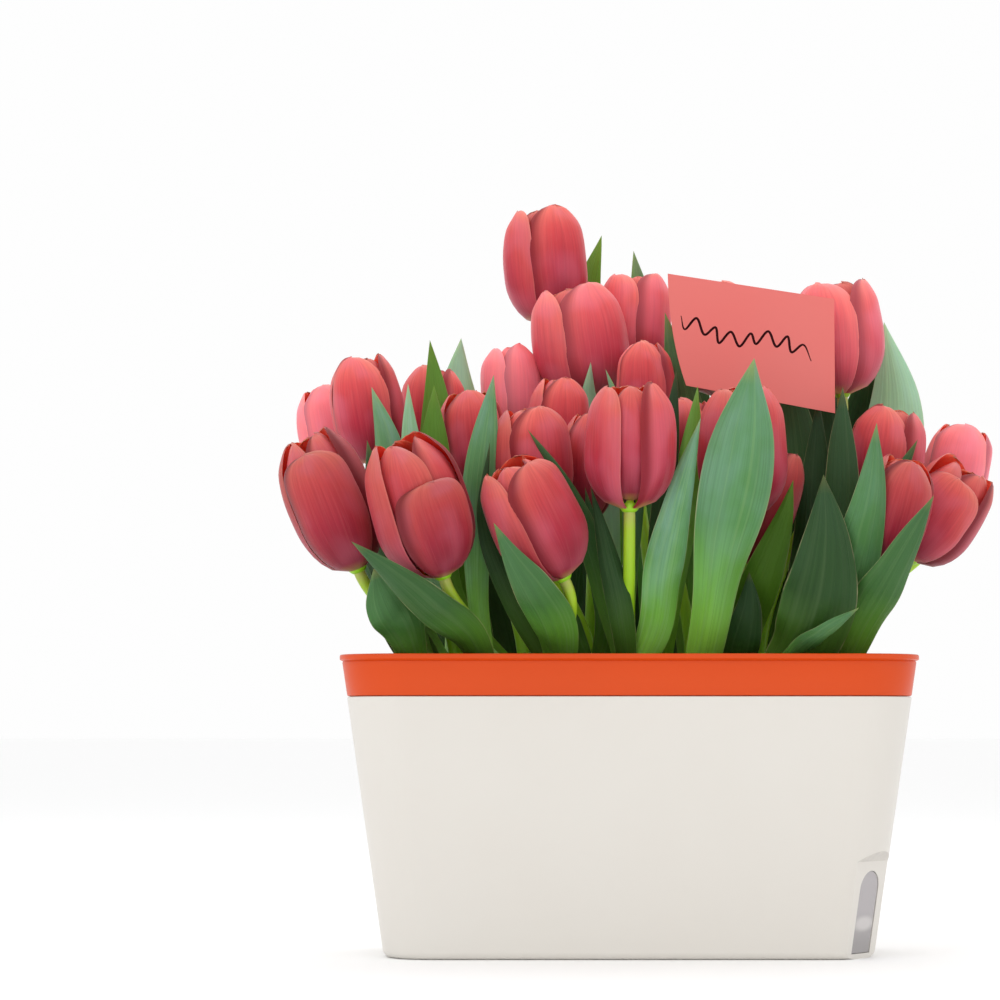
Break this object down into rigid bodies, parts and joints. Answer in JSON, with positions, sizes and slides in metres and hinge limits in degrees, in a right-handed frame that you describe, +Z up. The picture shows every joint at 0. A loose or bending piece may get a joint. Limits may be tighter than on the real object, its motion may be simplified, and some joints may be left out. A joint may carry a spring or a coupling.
{
  "type": "potted tulip",
  "caption": "Tulips growing in a tapered rectangular self-watering planter with a lipped inner pot, a water window and a small plain card among the blooms.",
  "frame": {"origin": "middle of the planter's flat underside, on the surface it stands on", "axes": "+X along the planter's long side, to the right seen from the front; -Y to the front; +Z up"},
  "size_m": [0.3771, 0.2433, 0.408],
  "materials": {
    "white_plastic": "satin",
    "grey_window": "gloss",
    "float_plastic": "satin",
    "orange_plastic": "satin",
    "petal": "satin",
    "leaf": "satin",
    "potting_soil": "matte",
    "card_paper": "matte",
    "pick_wood": "matte"
  },
  "bodies": {
    "root": {"outer_pot": "white_plastic", "water_window": "grey_window", "water_float": "float_plastic", "inner_pot": "orange_plastic", "bloom_01": "petal", "leafy_stem_01": "leaf", "bloom_02": "petal", "leafy_stem_02": "leaf", "bloom_03": "petal", "leafy_stem_03": "leaf", "bloom_04": "petal", "leafy_stem_04": "leaf", "bloom_05": "petal", "leafy_stem_05": "leaf", "bloom_06": "petal", "leafy_stem_06": "leaf", "bloom_07": "petal", "leafy_stem_07": "leaf", "bloom_08": "petal", "leafy_stem_08": "leaf", "bloom_09": "petal", "leafy_stem_09": "leaf", "bloom_10": "petal", "leafy_stem_10": "leaf", "bloom_11": "petal", "leafy_stem_11": "leaf", "bloom_12": "petal", "leafy_stem_12": "leaf", "bloom_13": "petal", "leafy_stem_13": "leaf", "bloom_14": "petal", "leafy_stem_14": "leaf", "bloom_15": "petal", "leafy_stem_15": "leaf", "bloom_16": "petal", "leafy_stem_16": "leaf", "bloom_17": "petal", "leafy_stem_17": "leaf", "bloom_18": "petal", "leafy_stem_18": "leaf", "bloom_19": "petal", "leafy_stem_19": "leaf", "bloom_20": "petal", "leafy_stem_20": "leaf", "bloom_21": "petal", "leafy_stem_21": "leaf", "bloom_22": "petal", "leafy_stem_22": "leaf", "bloom_23": "petal", "leafy_stem_23": "leaf", "bloom_24": "petal", "leafy_stem_24": "leaf", "bloom_25": "petal", "leafy_stem_25": "leaf", "bloom_26": "petal", "leafy_stem_26": "leaf", "soil": "potting_soil", "card": "card_paper", "card_pick": "pick_wood"}
  },
  "joints": []
}
